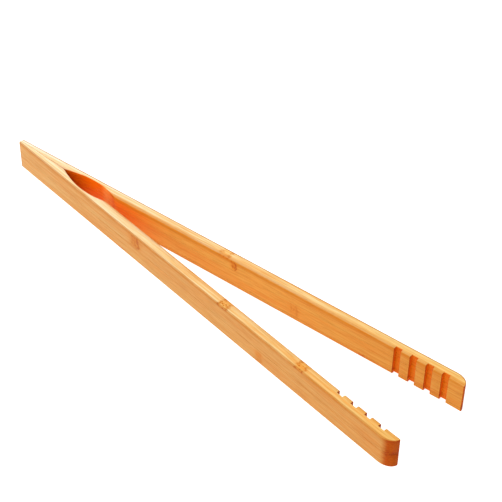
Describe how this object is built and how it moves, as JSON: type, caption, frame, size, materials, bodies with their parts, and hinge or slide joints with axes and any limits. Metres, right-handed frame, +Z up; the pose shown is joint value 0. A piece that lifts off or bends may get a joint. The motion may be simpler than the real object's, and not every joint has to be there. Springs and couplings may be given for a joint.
{
  "type": "spring tongs",
  "caption": "Bamboo spring tongs: straight laminated arms glued together at a tapered head, thinned to flexing necks, with grip grooves across the tips.",
  "frame": {"origin": "under the middle of the length, on the centre plane between the arms, on the surface that the narrow edges lie on", "axes": "+X from the glued head to the tips, +Y to the left arm, +Z up across the arms' width"},
  "size_m": [0.3042, 0.058, 0.0175],
  "materials": {
    "left_lower_bamboo": "satin",
    "left_middle_bamboo": "satin",
    "left_upper_bamboo": "satin",
    "right_lower_bamboo": "satin",
    "right_upper_bamboo": "satin"
  },
  "bodies": {
    "head": {"left_lower_ply_head": "left_lower_bamboo", "left_lower_ply_neck": "left_lower_bamboo", "left_middle_ply_head": "left_middle_bamboo", "left_middle_ply_neck": "left_middle_bamboo", "left_upper_ply_head": "left_upper_bamboo", "left_upper_ply_neck": "left_upper_bamboo", "right_lower_ply_head": "right_lower_bamboo", "right_lower_ply_neck": "right_lower_bamboo", "right_upper_ply_head": "right_upper_bamboo", "right_upper_ply_neck": "right_upper_bamboo"},
    "left_arm": {"left_lower_ply_blade": "left_lower_bamboo", "left_middle_ply_blade": "left_middle_bamboo", "left_upper_ply_blade": "left_upper_bamboo"},
    "right_arm": {"right_lower_ply_blade": "right_lower_bamboo", "right_upper_ply_blade": "right_upper_bamboo"}
  },
  "joints": [
    {"name": "left_arm_flex", "type": "hinge", "parent": "head", "child": "left_arm", "pos_m": [-0.09542, 0.00591, 0], "axis": [0, 0, -1], "range_deg": [-2, 5.4], "stiffness_Nm_per_rad": 8, "deforming": ["left_lower_ply_neck", "left_middle_ply_neck", "left_upper_ply_neck"]},
    {"name": "right_arm_flex", "type": "hinge", "parent": "head", "child": "right_arm", "pos_m": [-0.09542, -0.00591, 0], "axis": [0, 0, 1], "range_deg": [-2, 5.4], "stiffness_Nm_per_rad": 8, "deforming": ["right_lower_ply_neck", "right_upper_ply_neck"]}
  ]
}
